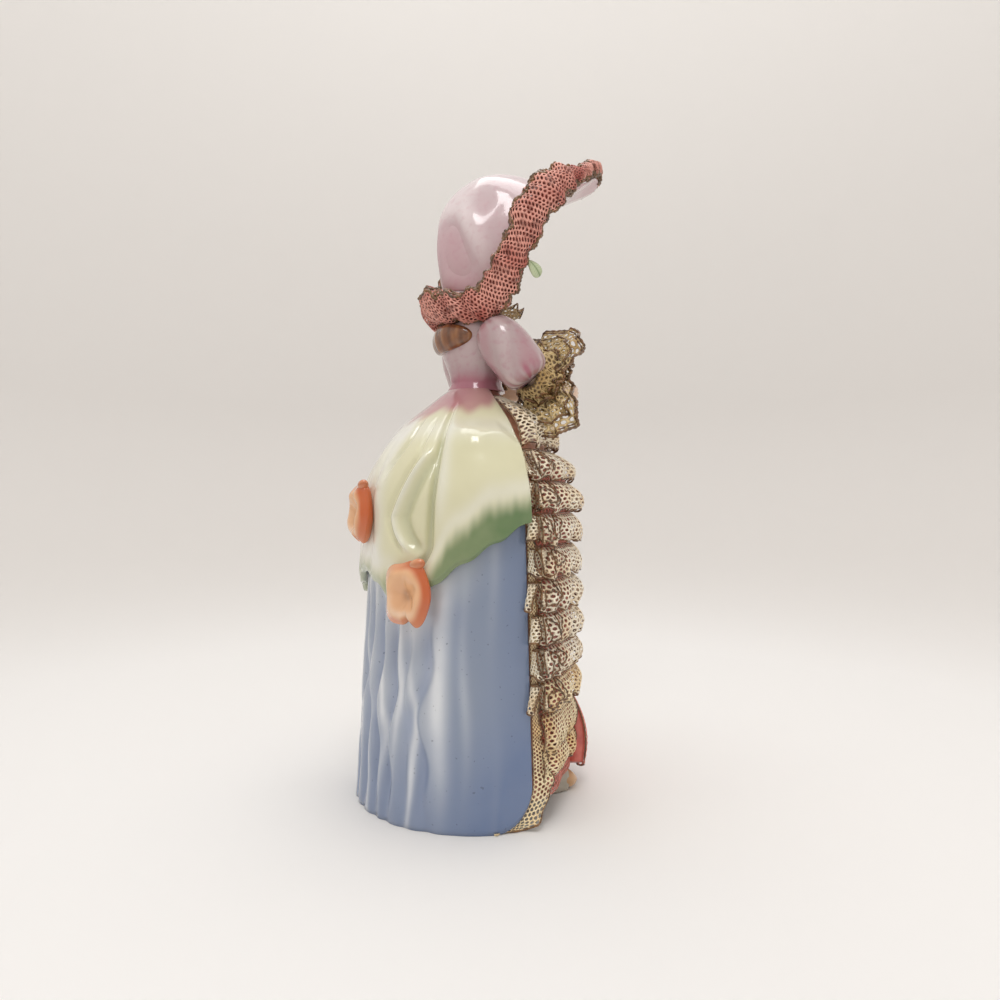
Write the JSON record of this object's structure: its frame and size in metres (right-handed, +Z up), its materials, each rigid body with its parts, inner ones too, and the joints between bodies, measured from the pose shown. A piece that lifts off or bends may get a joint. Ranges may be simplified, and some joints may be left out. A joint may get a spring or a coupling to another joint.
{
  "type": "porcelain lady figurine",
  "caption": "Porcelain lady in a blue gown with a looped cream overskirt, tiers of fired lace and a wide tilted hat; stands on its hem and plinth.",
  "frame": {"origin": "middle of the floor box that the whole figure fills, on the surface it stands on", "axes": "+Z up, -Y the way the lady faces, +X her left side"},
  "size_m": [0.0802, 0.0864, 0.2018],
  "materials": {
    "blue_glaze": "gloss glaze over porcelain",
    "cream_glaze": "gloss glaze over porcelain",
    "rose_glaze": "gloss glaze over porcelain",
    "pink_lace": "bisque-fired lace net, satin",
    "cream_lace": "bisque-fired lace net, satin",
    "lilac_glaze": "gloss glaze over porcelain",
    "flesh_glaze": "gloss glaze over porcelain",
    "hair_glaze": "gloss glaze over porcelain",
    "plinth_glaze": "gloss glaze over porcelain",
    "shoe_glaze": "gloss glaze over porcelain",
    "leaf_glaze": "gloss glaze over porcelain"
  },
  "bodies": {
    "root": {"gown_skirt": "blue_glaze", "overskirt": "cream_glaze", "rose_back": "rose_glaze", "rose_right": "rose_glaze", "rose_left": "rose_glaze", "petticoat": "pink_lace", "petticoat_panel": "pink_lace", "hat_lace": "pink_lace", "lace_tier_1": "cream_lace", "lace_tier_2": "cream_lace", "lace_tier_3": "cream_lace", "lace_tier_4": "cream_lace", "lace_tier_5": "cream_lace", "lace_tier_6": "cream_lace", "lace_tier_7": "cream_lace", "lace_tier_8": "cream_lace", "side_lace_1_right": "cream_lace", "side_lace_1_left": "cream_lace", "side_lace_2_right": "cream_lace", "side_lace_2_left": "cream_lace", "edge_frill_right": "cream_lace", "edge_frill_left": "cream_lace", "neck_frill": "cream_lace", "cuff_upper_right": "cream_lace", "cuff_upper_left": "cream_lace", "cuff_lower_right": "cream_lace", "cuff_lower_left": "cream_lace", "bodice": "lilac_glaze", "sleeve_right": "lilac_glaze", "sleeve_left": "lilac_glaze", "hat_brim": "lilac_glaze", "hat_crown": "lilac_glaze", "head": "flesh_glaze", "forearm_right": "flesh_glaze", "forearm_left": "flesh_glaze", "hair": "hair_glaze", "chignon": "hair_glaze", "base_plinth": "plinth_glaze", "shoe_right": "shoe_glaze", "shoe_left": "shoe_glaze", "hat_leaf": "leaf_glaze"}
  },
  "joints": []
}
